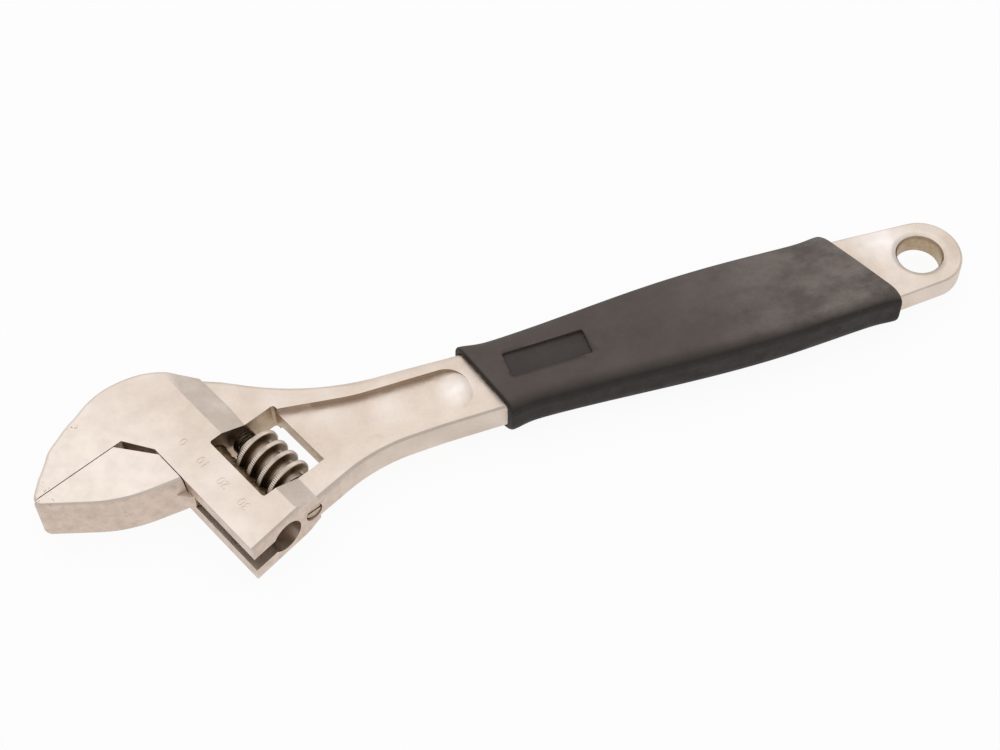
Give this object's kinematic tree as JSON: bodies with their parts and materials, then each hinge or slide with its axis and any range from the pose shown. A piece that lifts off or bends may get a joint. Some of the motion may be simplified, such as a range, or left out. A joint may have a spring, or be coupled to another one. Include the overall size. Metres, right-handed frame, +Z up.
{
  "type": "adjustable wrench",
  "caption": "Adjustable wrench with a sliding lower jaw driven by a thumb worm, an I-section neck, a rubber grip sleeve and a hanging hole.",
  "frame": {"origin": "centre of the underside of the wrench's box, on the surface it lies on", "axes": "+X along the handle towards the hanging hole, +Z up through the thickness, +Y towards the fixed jaw's crown"},
  "size_m": [0.3052, 0.073, 0.0176],
  "materials": {
    "body_metal": "satin nickel plating over blasted forging",
    "jaw_metal": "satin nickel plating over blasted forging",
    "worm_metal": "plated, knurled crests, darker oiled grooves",
    "pin_metal": "turned, dull",
    "spring_metal": "drawn spring wire",
    "grip_rubber": "matte moulded rubber"
  },
  "bodies": {
    "wrench": {"wrench_body": "body_metal", "grip_sleeve": "grip_rubber", "worm_pin": "pin_metal", "worm_spring": "spring_metal"},
    "jaw": {"movable_jaw": "jaw_metal"},
    "worm": {"worm": "worm_metal"}
  },
  "joints": [
    {"name": "worm_turn", "type": "hinge", "parent": "wrench", "child": "worm", "pos_m": [-0.08253, -0.00684, 0.0088], "axis": [-0.3827, 0.9239, 0], "range_deg": [0, 2448]},
    {"name": "jaw_slide", "type": "slide", "parent": "wrench", "child": "jaw", "axis": [0.3827, -0.9239, 0], "range_m": [0, 0.034]}
  ],
  "couplings": [
    {"joint": "jaw_slide", "follows": "worm_turn", "m_per_rad": 0.00079577}
  ]
}
